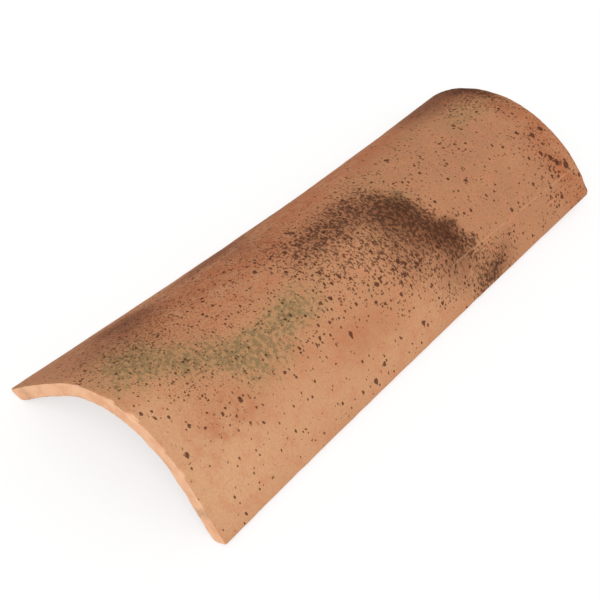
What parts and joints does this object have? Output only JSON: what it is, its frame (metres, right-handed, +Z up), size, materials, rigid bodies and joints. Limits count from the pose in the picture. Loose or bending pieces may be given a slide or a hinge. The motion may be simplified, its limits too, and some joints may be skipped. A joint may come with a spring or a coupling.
{
  "type": "clay roof tile",
  "caption": "Tapered half-barrel roof tile of fired clay, with a broad open end, a narrower arched end and two long feet, laid lapped to shed rain.",
  "frame": {"origin": "on the floor plane under the middle of the tile's length and width", "axes": "+Y along the tile towards its narrow end, +Z up out of the crown of the arch, +X across to the right when looking along +Y"},
  "size_m": [0.1962, 0.45, 0.0625],
  "materials": {
    "terracotta": "matte unglazed fired clay, peach to orange, with dark fly-ash speckle and faint green-grey weathering"
  },
  "bodies": {
    "root": {"roof_tile": "terracotta"}
  },
  "joints": []
}
